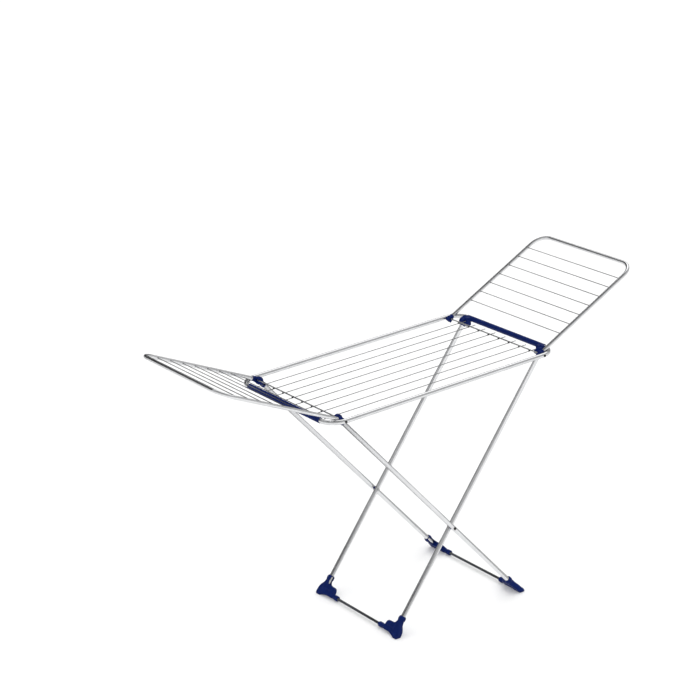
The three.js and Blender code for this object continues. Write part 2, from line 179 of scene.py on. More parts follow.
def sweep(shape, centres, sideways, upward, radii, sides, closed=False):
    """A round tube of the given radii through the centres, with UVs in metres along and around it."""
    centres = np.asarray(centres, float)
    steps = np.linalg.norm(np.diff(centres, axis=0), axis=1)
    along = np.concatenate([[0.0], np.cumsum(steps)])
    angles = np.arange(sides) / sides * 2 * math.pi
    ring = np.cos(angles)[None, :, None] * np.asarray(sideways)[:, None, :]
    ring = ring + np.sin(angles)[None, :, None] * np.asarray(upward)[:, None, :]
    points = (centres[:, None, :] + ring * np.asarray(radii)[:, None, None]).reshape(-1, 3)
    count = len(centres)
    if closed:
        points = points[:-sides]
    around = 2 * math.pi * float(np.max(radii)) / sides
    faces, uvs = [], []
    for i in range(count - 1):
        first, second = i * sides, ((i + 1) % (count - 1) if closed else i + 1) * sides
        for j in range(sides):
            k = (j + 1) % sides
            faces.append((first + j, first + k, second + k, second + j))
            v0, v1 = j * around, (j + 1) * around
            uvs.append([(along[i], v0), (along[i], v1), (along[i + 1], v1), (along[i + 1], v0)])
    if not closed:
        for start in (0, (count - 1) * sides):
            faces.append(tuple(range(start, start + sides)))
            uvs.append([(0.0, 0.0)] * sides)
    return shape.add(points, faces, uvs)


def frame_along(direction):
    """Two unit vectors square to a direction."""
    direction = unit(direction)
    helper = np.array([0.0, 0.0, 1.0]) if abs(direction[2]) < 0.9 else np.array([1.0, 0.0, 0.0])
    sideways = unit(np.cross(helper, direction))
    return sideways, np.cross(direction, sideways)


def turned(shape, start, direction, profile, sides):
    """A turned body: the profile's (distance, radius) pairs, in millimetres, run along a line."""
    direction = unit(direction)
    sideways, upward = frame_along(direction)
    centres = np.array([np.asarray(start) + direction * distance * MM for distance, _ in profile])
    count = len(profile)
    radii = [radius * MM for _, radius in profile]
    return sweep(shape, centres, [sideways] * count, [upward] * count, radii, sides)


FLARE_STEPS = (1.0, 0.85, 0.6, 0.3, 0.0)  # of a quarter turn, from the end of a bar to its shaft


def bar(shape, start, end, radius, sides, flare):
    """A straight bar whose ends have the radius and whose shaft is thinner by the flare, in metres.

    A known fault: the ends were meant to be rounded, and the shaft to have the radius.
    """
    start, end = np.asarray(start, float), np.asarray(end, float)
    length = np.linalg.norm(end - start) / MM
    r, k = radius / MM, flare / MM
    head = []
    for t in FLARE_STEPS:
        distance = k * (1 - math.sin(t * math.pi / 2))
        head.append((distance, r - k * (1 - math.cos((1 - t) * math.pi / 2))))
    profile = head + [(length - distance, rad) for distance, rad in head[::-1]]
    return turned(shape, start, end - start, profile, sides)


def headed_rod(start, direction, length, dome, shank, sides):
    """A rod with a domed head at each end, in millimetres. The dome's last point is at the shank."""
    head = dome[-1][0]
    profile = dome + [(head, shank), (length - head, shank)]
    profile += [(length - distance, radius) for distance, radius in dome[::-1]]
    return turned(Shape(), start, direction, profile, sides)


BEAD_STEPS = 7
BEAD_SIDES = 12


def bead(shape, centre, direction, length, radius):
    """A small round-ended weld bead, in millimetres, centred on a point in metres."""
    profile = []
    for i in range(BEAD_STEPS + 1):
        # The half circle stops just short of its ends, which leaves a small flat face there.
        angle = math.pi * (0.06 + 0.88 * i / BEAD_STEPS)
        profile.append((length / 2 - length / 2 * math.cos(angle), radius * math.sin(angle)))
    start = np.asarray(centre) - unit(direction) * length / 2 * MM
    return turned(shape, start, direction, profile, BEAD_SIDES)


# ---- Moulded solids: distance functions in millimetres, turned into meshes ----


def rod_distance(p, start, end, radius, rounding=1.0):
    start, end = np.asarray(start, float), np.asarray(end, float)
    axis = unit(end - start)
    half = np.linalg.norm(end - start) / 2
    offset = p - (start + end) / 2
    along = offset @ axis
    across = np.linalg.norm(offset - along[:, None] * axis, axis=1)
    a, b = across - radius + rounding, np.abs(along) - half + rounding
    return np.minimum(np.maximum(a, b), 0) + np.hypot(np.maximum(a, 0), np.maximum(b, 0)) - rounding


def block_distance(p, centre, half, axes=None, rounding=1.0):
    offset = p - np.asarray(centre, float)
    if axes is not None:
        offset = offset @ np.asarray(axes, float).T
    q = np.abs(offset) - np.asarray(half, float) + rounding
    return np.linalg.norm(np.maximum(q, 0), axis=1) + np.minimum(q.max(1), 0) - rounding


def outline_distance(flat, outline):
    """The distance in the plane to a closed outline, negative inside."""
    best = np.full(len(flat), 1e9)
    inside = np.zeros(len(flat), bool)
    for a, b in zip(outline, np.roll(outline, -1, axis=0)):
        edge, offset = b - a, flat - a
        t = np.clip(offset @ edge / (edge @ edge), 0, 1)
        gap = offset - t[:, None] * edge
        best = np.minimum(best, (gap**2).sum(1))
        crosses = (a[1] > flat[:, 1]) != (b[1] > flat[:, 1])
        rise = b[1] - a[1] if abs(b[1] - a[1]) > 1e-12 else 1e-12
        inside ^= crosses & (flat[:, 0] < a[0] + (flat[:, 1] - a[1]) / rise * edge[0])
    return np.where(inside, -1, 1) * np.sqrt(best)


def plate_distance(p, outline, half, rounding):
    a, b = outline_distance(p[:, :2], outline) + rounding, np.abs(p[:, 2]) - half + rounding
    return np.minimum(np.maximum(a, b), 0) + np.hypot(np.maximum(a, 0), np.maximum(b, 0)) - rounding


def blend_in(a, b, fillet):
    h = np.maximum(fillet - np.abs(a - b), 0) / fillet
    return np.minimum(a, b) - h * h * fillet / 4


def cut_out(a, b, fillet=0.8):
    return -blend_in(-a, b, fillet)


PROBE = 0.02  # how far each side of a point the distance function's slope is taken
SETTLING_STEPS = 3
LEAST_SLOPE = 0.3  # squared; keeps a point from jumping where the function is flat


def surface_of(distance, low, high, cell):
    """The surface where a distance function is zero, as points and four-sided faces."""
    low, high, cell = (np.asarray(v, float) for v in (low, high, cell))
    size = np.ceil((high - low) / cell).astype(int) + 1
    axes = [low[k] + cell[k] * np.arange(size[k]) for k in range(3)]
    grid = np.stack(np.meshgrid(*axes, indexing="ij"), -1).reshape(-1, 3)
    value = distance(grid).reshape(size)
    inside = value < 0
    corners = sum(
        inside[i : size[0] - 1 + i, j : size[1] - 1 + j, k : size[2] - 1 + k].astype(int)
        for i in (0, 1) for j in (0, 1) for k in (0, 1)
    )
    active = np.argwhere((corners > 0) & (corners < 8))
    index = np.full(corners.shape, -1)
    index[tuple(active.T)] = np.arange(len(active))
    total, hits = np.zeros((len(active), 3)), np.zeros(len(active))
    for axis in range(3):
        step = np.eye(3, dtype=int)[axis]
        for i in (0, 1):
            for j in (0, 1):
                shift = np.insert([i, j], axis, 0)
                first, second = active + shift, active + shift + step
                v0, v1 = value[tuple(first.T)], value[tuple(second.T)]
                crossing = (v0 < 0) != (v1 < 0)
                share = np.where(crossing, v0 / np.where(crossing, v0 - v1, 1), 0)
                total += crossing[:, None] * (shift + share[:, None] * step)
                hits += crossing
    points = low + (active + total / hits[:, None]) * cell
    faces = []
    for axis in range(3):
        b, c = (axis + 1) % 3, (axis + 2) % 3
        first = np.take(inside, range(size[axis] - 1), axis)
        second = np.take(inside, range(1, size[axis]), axis)
        edges = np.argwhere(first != second)
        off_low = (edges[:, b] > 0) & (edges[:, c] > 0)
        off_high = (edges[:, b] < size[b] - 1) & (edges[:, c] < size[c] - 1)
        edges = edges[off_low & off_high]
        eb, ec = np.eye(3, dtype=int)[b], np.eye(3, dtype=int)[c]
        around = [edges - eb - ec, edges - ec, edges, edges - eb]
        quads = np.stack([index[tuple(e.T)] for e in around], 1)
        outward = first[tuple(edges.T)]
        faces.append(np.where(outward[:, None], quads, quads[:, ::-1]))
    for _ in range(SETTLING_STEPS):
        here = distance(points)
        slopes = []
        for e in np.eye(3):
            slopes.append((distance(points + PROBE * e) - distance(points - PROBE * e)) / (2 * PROBE))
        slope = np.stack(slopes, 1)
        move = here[:, None] * slope / np.maximum((slope**2).sum(1), LEAST_SLOPE)[:, None]
        limit = cell.min() * 0.5
        points -= move * np.minimum(1, limit / np.maximum(np.linalg.norm(move, axis=1), 1e-9))[:, None]
    return points, np.concatenate(faces)


def moulding(name, body, node, distance, low, high, cell, place, mirror=False):
    """A moulded piece: its surface in its own axes, put in the rack's axes by a 4 by 4 matrix in metres."""
    points, faces = surface_of(distance, low, high, cell)
    points = points @ place[:3, :3].T * MM + place[:3, 3]
    if mirror:
        points[:, 1] *= -1
    return Shape().add(points, faces).finish(name, body, node, "blue_plastic", plastic, sharp=50)


def placed(x_axis, y_axis, z_axis, origin):
    matrix = np.eye(4)
    matrix[:3, 0], matrix[:3, 1], matrix[:3, 2], matrix[:3, 3] = x_axis, y_axis, z_axis, origin
    return matrix


CURVE_STEPS = 6


def curve(*steps):
    """An outline from corner points, and quadratic bends given as (control, end) pairs."""
    points = [np.array(steps[0], float)]
    for step in steps[1:]:
        if np.ndim(step[0]) == 0:
            points.append(np.array(step, float))
            continue
        control, end, start = np.array(step[0], float), np.array(step[1], float), points[-1]
        for i in range(1, CURVE_STEPS + 1):
            t = i / CURVE_STEPS
            points.append((1 - t) ** 2 * start + 2 * t * (1 - t) * control + t * t * end)
    return np.array(points)


# ---- Materials ----


def node_material(name):
    material = bpy.data.materials.new(name)
    material.use_nodes = True
    nodes, links = material.node_tree.nodes, material.node_tree.links
    return material, nodes, links, nodes["Principled BSDF"]


def noise_of(nodes, links, vector, scale, detail=3.0):
    noise = nodes.new("ShaderNodeTexNoise")
    noise.inputs["Scale"].default_value = scale
    noise.inputs["Detail"].default_value = detail
    links.new(vector, noise.inputs["Vector"])
    return noise.outputs["Fac"]


def spread(nodes, links, factor, low, high, start=0.35, end=0.65):
    """Maps the middle of a noise's range to the values from low to high."""
    remap = nodes.new("ShaderNodeMapRange")
    remap.inputs["From Min"].default_value = start
    remap.inputs["From Max"].default_value = end
    remap.inputs["To Min"].default_value = low
    remap.inputs["To Max"].default_value = high
    links.new(factor, remap.inputs["Value"])
    return remap.outputs["Result"]


def mixed_colour(nodes, links, factor, dark, light):
    ramp = nodes.new("ShaderNodeValToRGB")
    ramp.color_ramp.elements[0].position, ramp.color_ramp.elements[1].position = 0.35, 0.65
    ramp.color_ramp.elements[0].color = (*dark, 1)
    ramp.color_ramp.elements[1].color = (*light, 1)
    links.new(factor, ramp.inputs["Fac"])
    return ramp.outputs["Color"]


def bump_of(nodes, links, height, strength, depth):
    bump = nodes.new("ShaderNodeBump")
    bump.inputs["Strength"].default_value = strength
    bump.inputs["Distance"].default_value = depth
    links.new(height, bump.inputs["Height"])
    return bump.outputs["Normal"]


# How much of a wire's or a head's colour is left where it is darkened.
WELD_SHADE = 0.10
HEAD_SHADE = 0.12
# How far from an axle rod's axis a wire is fully dark, and where its own colour is back.
WELD_DARK_TO = 5 * MM
WELD_CLEAR_FROM = 9 * MM
HEAD_FADE = 0.5 * MM


def marked(nodes, links, place, colour, marks):
    """Darkens a wire near its welds to the axle rods, or the heads of the rods and pins."""
    split = nodes.new("ShaderNodeSeparateXYZ")
    links.new(place, split.inputs[0])
    welds = marks == "welds"
    value = split.outputs["X" if welds else "Y"]
    for operation, amount in (("ABSOLUTE", 0.0), ("SUBTRACT", AXLE_X if welds else 0.0), ("ABSOLUTE", 0.0)):
        step = nodes.new("ShaderNodeMath")
        step.operation = operation
        step.inputs[1].default_value = amount
        links.new(value, step.inputs[0])
        value = step.outputs[0]
    if welds:
        shade = spread(nodes, links, value, WELD_SHADE, 1.0, WELD_DARK_TO, WELD_CLEAR_FROM)
    else:
        shade = spread(nodes, links, value, 1.0, HEAD_SHADE, PIN_FACE_Y - HEAD_FADE, PIN_FACE_Y)
    tint = nodes.new("ShaderNodeMixRGB")
    tint.blend_type = "MULTIPLY"
    tint.inputs["Fac"].default_value = 1.0
    links.new(colour, tint.inputs["Color1"])
    links.new(shade, tint.inputs["Color2"])
    return tint.outputs["Color"]


def drawn_metal(name, dark, light, rough_low, rough_high, metallic, grain, marks=None):
    """Metal with a grain drawn along its length, and slow changes of tone and gloss."""
    material, nodes, links, shader = node_material(name)
    place = nodes.new("ShaderNodeTexCoord")
    stretch = nodes.new("ShaderNodeMapping")
    stretch.inputs["Scale"].default_value = (5.0, grain, 1.0)
    links.new(place.outputs["UV"], stretch.inputs["Vector"])
    lines = noise_of(nodes, links, stretch.outputs["Vector"], 1.0, 4.0)
    clouds = noise_of(nodes, links, place.outputs["Object"], 22.0)
    tone = nodes.new("ShaderNodeMath")
    tone.operation = "ADD"
    half_lines = spread(nodes, links, lines, 0.0, 0.5, 0.0, 1.0)
    half_clouds = spread(nodes, links, clouds, 0.0, 0.5, 0.0, 1.0)
    links.new(half_lines, tone.inputs[0])
    links.new(half_clouds, tone.inputs[1])
    colour = mixed_colour(nodes, links, tone.outputs[0], dark, light)
    if marks:
        colour = marked(nodes, links, place.outputs["Object"], colour, marks)
    links.new(colour, shader.inputs["Base Color"])
    links.new(spread(nodes, links, tone.outputs[0], rough_low, rough_high), shader.inputs["Roughness"])
    links.new(bump_of(nodes, links, lines, 0.12, 0.00008), shader.inputs["Normal"])
    shader.inputs["Metallic"].default_value = metallic
    shader.inputs["Specular Tint"].default_value = (0.22, 0.22, 0.23, 1)
    return material


def moulded_plastic(name, dark, light):
    """Plastic with a fine spark-eroded grain, slow tone changes, and dulled patches."""
    material, nodes, links, shader = node_material(name)
    place = nodes.new("ShaderNodeTexCoord").outputs["Object"]
    clouds = noise_of(nodes, links, place, 60.0)
    grain = noise_of(nodes, links, place, 1400.0, 2.0)
    links.new(mixed_colour(nodes, links, clouds, dark, light), shader.inputs["Base Color"])
    links.new(spread(nodes, links, clouds, 0.36, 0.48), shader.inputs["Roughness"])
    links.new(bump_of(nodes, links, grain, 0.18, 0.00012), shader.inputs["Normal"])
    shader.inputs["Specular IOR Level"].default_value = 0.07
    return material


tube_steel = drawn_metal(
    "satin_tube", (0.70, 0.705, 0.715), (0.80, 0.805, 0.815),
    rough_low=0.16, rough_high=0.26, metallic=1.0, grain=900.0,
)
rod_steel = drawn_metal(
    "drawn_rod", (0.42, 0.425, 0.43), (0.54, 0.545, 0.55),
    rough_low=0.30, rough_high=0.42, metallic=1.0, grain=1200.0, marks="heads",
)
wire_steel = drawn_metal(
    "bright_wire", (0.20, 0.203, 0.208), (0.28, 0.284, 0.29),
    rough_low=0.26, rough_high=0.38, metallic=1.0, grain=1500.0, marks="welds",
)
dark_steel = drawn_metal(
    "dark_tube", (0.075, 0.078, 0.085), (0.12, 0.124, 0.132),
    rough_low=0.36, rough_high=0.48, metallic=0.8, grain=900.0,
)
plastic = moulded_plastic("navy_plastic", (0.0030, 0.0108, 0.0820), (0.0044, 0.0148, 0.1040))

# ---- The table ----

TABLE_CORNER = 61 * MM
BEND_STEPS = 26
TUBE_SIDES = 32
WIRE_SIDES = 14
AXLE_SIDES = 20
AXLE_ROD_R = 2.5
AXLE_HEAD = 2.6
TUBE_CLEARANCE = 0.2  # between a tube and the moulding that it is pushed into
TABLE_WIRE_FLARE = 0.6 * MM
WELD_LENGTH = 10.0
WELD_R = 3.5
Z_AXIS = np.array([0.0, 0.0, 1.0])
Y_AXIS = np.array([0.0, 1.0, 0.0])


def corner_arc(centre, radius, start_angle):
    angles = start_angle + np.arange(BEND_STEPS + 1) / BEND_STEPS * math.pi / 2
    return centre + radius * np.stack([np.cos(angles), np.sin(angles), 0 * angles], 1), angles


def table_ring():
    centres, outward = [], []
    for quarter, (sx, sy) in enumerate([(-1, -1), (1, -1), (1, 1), (-1, 1)]):
        centre = np.array([sx * (END_X - TABLE_CORNER), sy * (SIDE_Y - TABLE_CORNER), TABLE_Z])
        arc, angles = corner_arc(centre, TABLE_CORNER, math.pi + quarter * math.pi / 2)
        centres.extend(arc)
        outward.extend(np.stack([np.cos(angles), np.sin(angles), 0 * angles], 1))
    centres.append(centres[0])
    outward.append(outward[0])
    count = len(centres)
    shape = sweep(Shape(), centres, outward, [Z_AXIS] * count, [RING_R] * count, TUBE_SIDES, closed=True)
    shape.finish("ring_tube", "frame", "table_ring", "tube", tube_steel)


def axle_rod(side):
    node = "axle_rod_" + side
    low, high = box_of(node)
    middle = (low + high) / 2
    head_radius = (high[0] - low[0]) / 2 / MM
    length = (high[1] - low[1]) / MM
    dome = [(0.0, 0.8), (0.15, 2.0), (0.55, 3.2), (1.15, head_radius - 0.5)]
    dome += [(1.7, head_radius), (AXLE_HEAD, head_radius - 0.1)]
    start = np.array([middle[0], low[1], middle[2]])
    shape = headed_rod(start, Y_AXIS, length, dome, AXLE_ROD_R, AXLE_SIDES)
    shape.finish("axle_" + side, "frame", node, "rod", rod_steel, sharp=40)


def table_wire(number):
    node = "table_wire_%d" % number
    low, high = box_of(node)
    radius = (high[1] - low[1]) / 2
    middle = (low + high) / 2
    start, end = middle.copy(), middle.copy()
    start[0], end[0] = low[0], high[0]
    shape = bar(Shape(), start, end, radius, WIRE_SIDES, TABLE_WIRE_FLARE)
    for sx in (-1, 1):
        weld = np.array([sx * AXLE_X, middle[1], middle[2] + radius])
        bead(shape, weld, (1, 0, 0), WELD_LENGTH, WELD_R)
    shape.finish("wire_table_%d" % number, "frame", node, "wire", wire_steel, sharp=50)


SHEATH_CLEARANCE = 0.3
# In degrees: half the width of the slit on its underside, and its flutes, from its inner side over the top.
SHEATH_SLIT_HALF = 11
FLUTES = (38, 62, 86, 110, 134)
FLUTE_HALF = 5.5
FLUTE_DEPTH = 0.75
FLUTE_FULLNESS = 0.8  # below 1 makes a flute's floor flatter
SHEATH_STEPS = 110
SHEATH_BORE_STEPS = 46


def end_sheath():
    """A split sheath with shallow flutes along it, snapped over the left end tube."""
    node = "end_sheath_left"
    low, high = box_of(node)
    radius = (high[2] - middle_of(node)[2]) / MM
    outer, inner, half_slot = radius, RING_R / MM + SHEATH_CLEARANCE, math.radians(SHEATH_SLIT_HALF)
    flutes = [math.radians(angle) for angle in FLUTES]
    section = []
    steps, back_steps = SHEATH_STEPS, SHEATH_BORE_STEPS
    for i in range(steps + 1):
        angle = -math.pi / 2 + half_slot + i / steps * (2 * math.pi - 2 * half_slot)
        nearest = min(abs(angle - f) for f in flutes)
        share = math.cos(min(nearest / math.radians(FLUTE_HALF), 1.0) * math.pi / 2)
        section.append((outer - FLUTE_DEPTH * max(0.0, share) ** FLUTE_FULLNESS, angle))
    for i in range(back_steps + 1):
        angle = -math.pi / 2 + half_slot + (back_steps - i) / back_steps * (2 * math.pi - 2 * half_slot)
        section.append((inner, angle))
    # The sheath's ends, as (place along it, how much smaller its outside is there).
    stations = [(low[1], 0.7), (low[1] + 0.3 * MM, 0.25), (low[1] + 0.9 * MM, 0.0)]
    stations += [(high[1] - 0.9 * MM, 0.0), (high[1] - 0.3 * MM, 0.25), (high[1], 0.7)]
    points = []
    for y, inset in stations:
        for r, angle in section:
            r = r - inset if r > inner else r
            points.append((-END_X + r * math.cos(angle) * MM, y, TABLE_Z + r * math.sin(angle) * MM))
    count = len(section)
    faces = []
    for i in range(len(stations) - 1):
        for j in range(count):
            k = (j + 1) % count
            faces.append((i * count + j, i * count + k, (i + 1) * count + k, (i + 1) * count + j))
    last = (len(stations) - 1) * count
    outer_count, inner_count = steps + 1, count - steps - 1
    for base in (0, last):
        for j in range(steps):
            near = outer_count + inner_count - 1 - round(j * (inner_count - 1) / steps)
            far = outer_count + inner_count - 1 - round((j + 1) * (inner_count - 1) / steps)
            corner = [base + j, base + j + 1, base + far, base + near]
            faces.append(tuple(dict.fromkeys(corner)))
    Shape().add(points, faces).finish("sheath", "frame", node, "blue_plastic", plastic, sharp=35)


table_ring()
for side in ("left", "right"):
    axle_rod(side)
for number in range(1, 9):
    table_wire(number)
end_sheath()

# ---- The wings ----

WING_CORNER = 57 * MM
WING_TUBE_R = 6.5 * MM
WING_TUBE_START = 5 * MM
WING_WIRE_FLARE = 0.3 * MM
# Where a wire meets the wing's tube it spreads, as (distance, radius) pairs that run outward.
WELD_SPREAD = [(0.0, 1.85), (1.0, 1.95), (2.0, 2.3), (2.8, 2.8), (3.4, 3.1)]
WELD_SPREAD_BACK = 2.6
CAP_BORE_R = 2.9
CAP_REACH = 16  # of its socket, along the wing's tube


def build_wing(side):
    sx = 1 if side == "right" else -1
    body = "wing_" + side
    low, high = box_of(body + "_tube")
    pivot = joints[body + "_hinge"]
    radius = WING_TUBE_R
    half_width = high[1] - radius
    far_x = (high[0] if sx > 0 else -low[0]) - radius - abs(pivot[0])
    far_z = high[2] - radius - pivot[2]
    length, tilt = math.hypot(far_x, far_z), math.atan2(far_z, far_x)
    along = np.array([sx * math.cos(tilt), 0.0, math.sin(tilt)])
    across = np.array([0.0, 1.0, 0.0])
    normal = np.array([-sx * math.sin(tilt), 0.0, math.cos(tilt)])

    def at(s, y, n=0.0):
        return pivot * np.array([1, 0, 1]) + s * along + y * across + n * normal

    centres = [at(WING_TUBE_START, -half_width)]
    outward = [-across]
    for sy in (-1, 1):
        for i in range(BEND_STEPS + 1):
            angle = (i / BEND_STEPS) * math.pi / 2
            angle = angle if sy < 0 else math.pi / 2 + angle
            direction = -math.cos(angle) * across + math.sin(angle) * along
            centre = at(length - WING_CORNER, sy * (half_width - WING_CORNER))
            centres.append(centre + WING_CORNER * direction)
            outward.append(direction)
    centres.append(at(WING_TUBE_START, half_width))
    outward.append(across)
    count = len(centres)
    shape = sweep(Shape(), centres, outward, [normal] * count, [radius] * count, TUBE_SIDES)
    shape.finish("tube_wing_" + side, body, body + "_tube", "tube", tube_steel, sharp=50)

    for number in range(1, 8):
        node = "%s_wire_%d" % (body, number)
        wire_low, wire_high = box_of(node)
        centre = (wire_low + wire_high) / 2
        reach = half_width - radius * 0.55
        wire_radius = (wire_high[2] - wire_low[2]) / 2
        start, end = centre.copy(), centre.copy()
        start[1], end[1] = -reach, reach
        wire = bar(Shape(), start, end, wire_radius, WIRE_SIDES, WING_WIRE_FLARE)
        for sy in (-1, 1):
            foot = centre + sy * across * (half_width - radius + 0.2 * MM)
            turned(wire, foot - sy * across * WELD_SPREAD_BACK * MM, sy * across, WELD_SPREAD, WIRE_SIDES)
        wire.finish("wire_wing_%s_%d" % (side, number), body, node, "wire", wire_steel, sharp=50)

    place = placed(along, across, normal, at(0.0, 0.0))
    half = half_width / MM
    lean = tilt - math.pi / 4
    turned_axes = [(math.cos(lean), 0, -math.sin(lean)), (0, 1, 0), (math.sin(lean), 0, math.cos(lean))]
    below = (-2.5 * math.sin(tilt), 0, -2.5 * math.cos(tilt))

    def cap_distance(p):
        y = p[:, 1] + half
        q = np.stack([p[:, 0], y, p[:, 2]], 1)
        knuckle = block_distance(q, below, (9.6, 8, 9.6), turned_axes, rounding=2.6)
        socket = rod_distance(q, (0, 0, 0), (CAP_REACH, 0, 0), 8.2, rounding=1.4)
        lip = rod_distance(q, (12.5, 0, 0), (CAP_REACH, 0, 0), 8.8, rounding=1.0)
        rib = block_distance(q, (8, 0, 0), (7, 1.6, 9.2), rounding=0.8)
        made = blend_in(knuckle, socket, fillet=3.0)
        made = blend_in(blend_in(made, lip, fillet=1.0), rib, fillet=1.5)
        boss = rod_distance(q, (0, -8.5, 0), (0, 8.5, 0), 5.6, rounding=1.0)
        made = blend_in(made, boss, fillet=0.8)
        axle_bore = rod_distance(q, (0, -12, 0), (0, 12, 0), CAP_BORE_R, rounding=0.1)
        made = cut_out(made, axle_bore, fillet=0.6)
        tube_start = (WING_TUBE_START / MM - TUBE_CLEARANCE, 0, 0)
        tube_bore = rod_distance(q, tube_start, (30, 0, 0), radius / MM + TUBE_CLEARANCE, rounding=0.1)
        return cut_out(made, tube_bore, fillet=0.6)

    for end, mirror in ENDS:
        name = "cap_%s_%s" % (side, end)
        moulding(name, body, "%s_cap_%s" % (body, end), cap_distance,
                 (-13, -half - 11, -13), (21, -half + 11, 13), (0.8, 0.8, 0.8), place, mirror)


for side in ("left", "right"):
    build_wing(side)

# ---- The legs ----


class Leg:
    """The line of one leg's tubes: the foot bar's axis crosses it at the corner."""

    def __init__(self, prefix):
        self.prefix = prefix
        self.body = "leg_pair_" + prefix[-1]
        upper, lower, self.radius = ends_of(prefix + "_tube_front")
        self.half_width = -upper[1]
        self.down = unit(lower - upper)
        self.top = upper
        self.bottom = lower
        bar_low, bar_high = box_of(prefix + "_foot_bar")
        self.bar_radius = (bar_high[2] - bar_low[2]) / 2
        self.corner = (bar_low + bar_high) / 2
        self.corner[1] = -self.half_width


leg_a, leg_b = Leg("leg_a"), Leg("leg_b")
LEG_TUBE_FLARE = 0.8 * MM
FOOT_BAR_FLARE = 0.6 * MM
FOOT_BAR_SIDES = 24


def leg_tubes(leg):
    for end, sy in (("front", 1), ("back", -1)):
        flip = np.array([1.0, sy, 1.0])
        start, stop = leg.top * flip, leg.bottom * flip
        shape = bar(Shape(), start, stop, leg.radius, TUBE_SIDES, LEG_TUBE_FLARE)
        name = "tube_%s_%s" % (leg.prefix, end)
        node = "%s_tube_%s" % (leg.prefix, end)
        shape.finish(name, leg.body, node, "tube", tube_steel, sharp=50)
    low, high = box_of(leg.prefix + "_foot_bar")
    middle = (low + high) / 2
    start, stop = middle.copy(), middle.copy()
    start[1], stop[1] = low[1], high[1]
    shape = bar(Shape(), start, stop, leg.bar_radius, FOOT_BAR_SIDES, FOOT_BAR_FLARE)
    shape.finish("bar_" + leg.prefix, leg.body, leg.prefix + "_foot_bar", "dark_tube", dark_steel, sharp=50)


# In a foot's own axes, in millimetres: inward along its bar, then up along its leg, from the foot's corner.
FOOT_OUTLINE = curve(
    (-9, 42), (-10.5, 37), ((-12, 31), (-17, 26)), ((-28, 15), (-28.5, -4)), (-26, -30), (-9, -30),
    (-2, -17), ((16, -8), (34, -8)), (56, -8), (57, 9), ((56, 24), (50, 27)), ((46, 30), (38, 30)),
    (26, 30), ((13, 31), (11, 38)), (9, 42),
)
FOOT_WEB_HALF = 9.6
FOOT_SOCKET_R = 10.8
FOOT_THUMB_R = 13.6  # the rounded swelling at the top of the socket
FOOT_BAR_SOCKET_R = 8.4
FOOT_COLLAR_R = 9.8
FOOT_TUBE_START = 12.6  # the leg's tube and the foot bar stop this far from the corner
FOOT_ARM = 90
BAR_CLEARANCE = 0.25
TOE_REACH = 19.0  # the foot is cut off square this far outside its corner


def feet(leg):
    inward, up = Y_AXIS, -leg.down
    normal = np.cross(inward, up)
    place = placed(inward, up, normal, leg.corner)
    tube, bar_radius = leg.radius / MM, leg.bar_radius / MM
    to_floor = np.array([inward[2], up[2], normal[2]])
    height = leg.corner[2] / MM
    to_side = np.array([inward[0], up[0], normal[0]])
    lean = np.sign(leg.down[0])

    def distance(p):
        web = plate_distance(p, FOOT_OUTLINE, FOOT_WEB_HALF, rounding=2.6)
        socket = rod_distance(p, (0, -4, 0), (0, 50, 0), FOOT_SOCKET_R, rounding=2.0)
        thumb = rod_distance(p, (0, 40, 0), (0, 66, 0), FOOT_THUMB_R, rounding=11.0)
        socket = blend_in(socket, thumb, fillet=2.0)
        bar_socket = rod_distance(p, (0, 0, 0), (FOOT_ARM, 0, 0), FOOT_BAR_SOCKET_R, rounding=1.6)
        collar = rod_distance(p, (FOOT_ARM - 20, 0, 0), (FOOT_ARM, 0, 0), FOOT_COLLAR_R, rounding=3.0)
        pad = block_distance(p, (-17, -16, 0), (10, 14, 11), rounding=5.0)
        made = blend_in(blend_in(web, socket, fillet=4.0), bar_socket, fillet=3.0)
        made = blend_in(blend_in(made, pad, fillet=4.0), collar, fillet=1.0)
        rib = block_distance(p, (22, 12, 0), (22, 1.3, 10.8), rounding=0.8)
        made = blend_in(made, rib, fillet=1.2)
        tube_bore = rod_distance(p, (0, FOOT_TUBE_START, 0), (0, 90, 0), tube + TUBE_CLEARANCE, rounding=0.1)
        made = cut_out(made, tube_bore, fillet=0.6)
        bar_bore_r = bar_radius + BAR_CLEARANCE
        bar_bore = rod_distance(p, (FOOT_TUBE_START, 0, 0), (120, 0, 0), bar_bore_r, rounding=0.1)
        made = cut_out(made, bar_bore, fillet=0.6)
        window = block_distance(p, (16.5, 43, 0), (15, 18, 7.2), rounding=2.5)
        made = cut_out(made, window, fillet=0.8)
        floor = p @ to_floor + height
        toe = TOE_REACH - (p @ to_side) * lean
        return cut_out(cut_out(made, toe, fillet=5.0), floor, fillet=4.0)

    for end, mirror in ENDS:
        name = "foot_%s_%s" % (leg.prefix, end)
        moulding(name, leg.body, "%s_foot_%s" % (leg.prefix, end), distance,
                 (-31, -33, -15), (93, 68, 15), (1.1, 1.1, 1.1), place, mirror)


SLEEVE_R = 10.0
SLEEVE_HALF = 217
SLEEVE_CLEARANCE = 0.35
SLEEVE_FLARE = 2.2  # the extra clearance at its ends, where the end tube begins to bend
SLEEVE_TUBE_START = 12  # a leg A tube starts this far down the leg
SOCKET_LENGTH = 37
SOCKET_R = 12.2
BOSS_R = 16.4
BOSS_DISTANCE = 20
NOSE_R = 8.3  # the boss's slimmer inner end, which passes under the table's wires
NOSE_REACH = 24
NOSE_DISTANCE = 27


